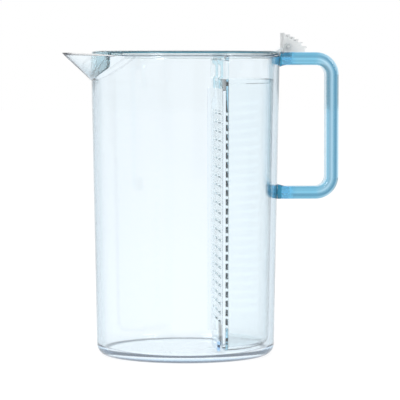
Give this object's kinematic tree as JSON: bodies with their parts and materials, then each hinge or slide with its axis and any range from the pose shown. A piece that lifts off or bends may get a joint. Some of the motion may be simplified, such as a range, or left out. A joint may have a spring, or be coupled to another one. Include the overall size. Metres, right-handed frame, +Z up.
{
  "type": "iced tea maker",
  "caption": "Clear tapered drinks jug with V spout, tinted loop handle, hinged lid with thumb lever, and a lift-out D-shaped strainer with a slotted screen.",
  "frame": {"origin": "the jug's axis at its flat underside", "axes": "+Z up along the jug's axis, +X towards the handle, -X towards the spout"},
  "size_m": [0.2126, 0.145, 0.2477],
  "materials": {
    "clear_plastic": "clear with a faint blue tint, polished",
    "blue_plastic": "transparent light blue, polished",
    "lid_plastic": "transparent pale blue, polished",
    "pale_plastic": "clear with a cool grey cast, satin ridges"
  },
  "bodies": {
    "jug": {"jug_body": "clear_plastic", "handle": "blue_plastic"},
    "insert": {"mouth_ring": "clear_plastic", "hanger_left": "clear_plastic", "hanger_right": "clear_plastic", "strainer_shell": "clear_plastic", "strainer_screen": "clear_plastic", "hinge_pin": "clear_plastic"},
    "lid": {"lid_plate": "lid_plastic", "thumb_lever": "pale_plastic"}
  },
  "joints": [
    {"name": "insert_lift", "type": "slide", "parent": "jug", "child": "insert", "axis": [0, 0, 1], "range_m": [0, 0.25]},
    {"name": "lid_hinge", "type": "hinge", "parent": "insert", "child": "lid", "pos_m": [0.078, 0, 0.237], "axis": [0, 1, 0], "range_deg": [0, 45]}
  ]
}
